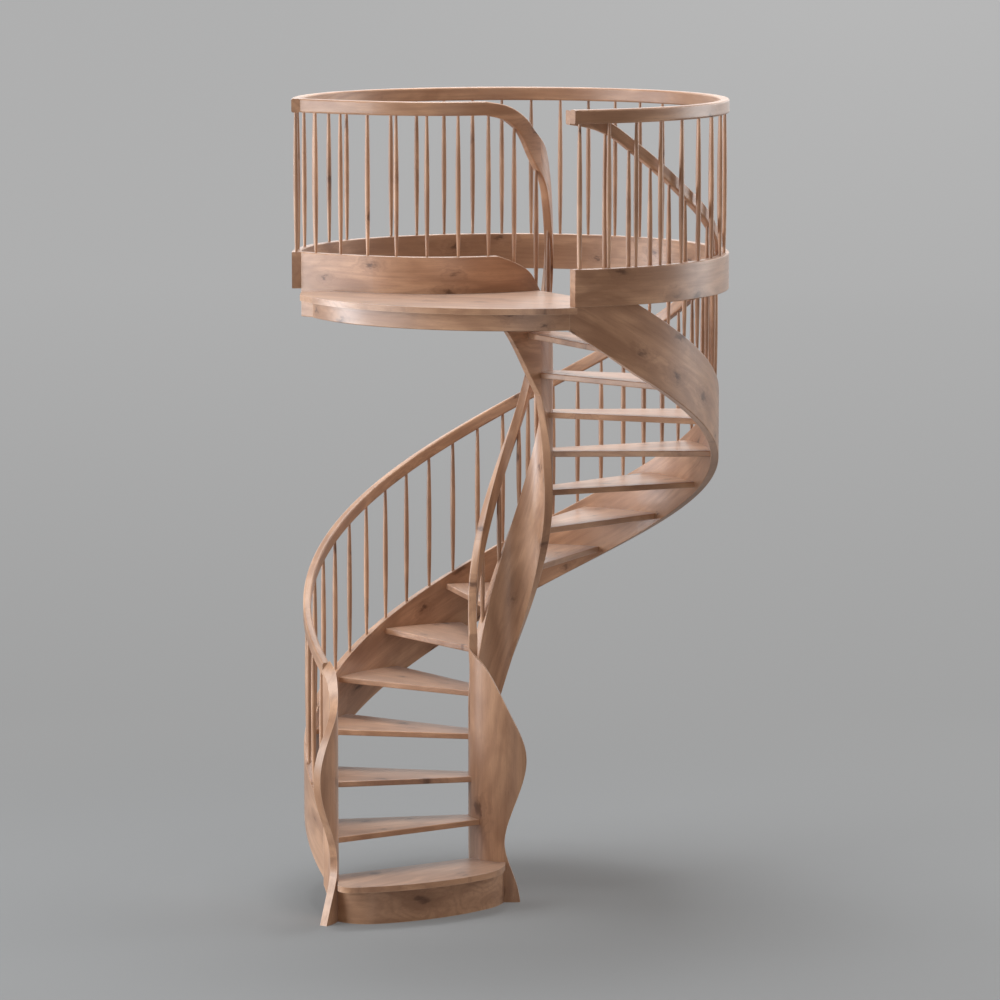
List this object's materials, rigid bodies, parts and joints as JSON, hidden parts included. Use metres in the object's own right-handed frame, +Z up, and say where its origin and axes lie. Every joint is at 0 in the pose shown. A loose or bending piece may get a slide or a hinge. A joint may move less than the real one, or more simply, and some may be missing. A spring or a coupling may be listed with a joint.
{
  "type": "spiral staircase",
  "caption": "Open spiral staircase in wood with two helical stringers, spindle handrails, a landing platform and the ring guard of the stairwell above it.",
  "frame": {"origin": "middle of the underside of the inner front panel's foot, on the lower floor", "axes": "+Z up; -Y towards the side from which the stair is entered, with the axis of the stair behind the origin on +Y; +X to the right of someone who faces the stair"},
  "size_m": [2.0946, 2.1123, 3.876],
  "materials": {
    "frame_wood": "satin",
    "tread_wood": "satin",
    "handrail_wood": "satin",
    "spindle_wood": "satin"
  },
  "bodies": {
    "root": {"guard_kerb": "frame_wood", "guard_rail": "handrail_wood", "guard_rail_bend": "handrail_wood", "guard_spindles": "spindle_wood", "inner_front_panel": "frame_wood", "inner_handrail_1": "handrail_wood", "inner_handrail_2": "handrail_wood", "inner_spindles": "spindle_wood", "inner_stringer_1": "frame_wood", "inner_stringer_2": "frame_wood", "inner_stringer_3": "frame_wood", "inner_stringer_4": "frame_wood", "landing_fascia": "frame_wood", "landing_platform": "tread_wood", "outer_front_panel": "frame_wood", "outer_handrail_1": "handrail_wood", "outer_handrail_2": "handrail_wood", "outer_handrail_3": "handrail_wood", "outer_handrail_4": "handrail_wood", "outer_spindles_1": "spindle_wood", "outer_spindles_2": "spindle_wood", "outer_spindles_3": "spindle_wood", "outer_stringer_1": "frame_wood", "outer_stringer_2": "frame_wood", "outer_stringer_3": "frame_wood", "outer_stringer_4": "frame_wood", "outer_stringer_5": "frame_wood", "ring_kerb_1": "frame_wood", "ring_kerb_2": "frame_wood", "ring_kerb_3": "frame_wood", "ring_rail_1": "handrail_wood", "ring_rail_2": "handrail_wood", "ring_rail_3": "handrail_wood", "ring_spindles_1": "spindle_wood", "ring_spindles_2": "spindle_wood", "ring_spindles_3": "spindle_wood", "starting_riser": "frame_wood", "tread_01": "tread_wood", "tread_02": "tread_wood", "tread_03": "tread_wood", "tread_04": "tread_wood", "tread_05": "tread_wood", "tread_06": "tread_wood", "tread_07": "tread_wood", "tread_08": "tread_wood", "tread_09": "tread_wood", "tread_10": "tread_wood", "tread_11": "tread_wood", "tread_12": "tread_wood", "tread_13": "tread_wood", "tread_14": "tread_wood"}
  },
  "joints": []
}
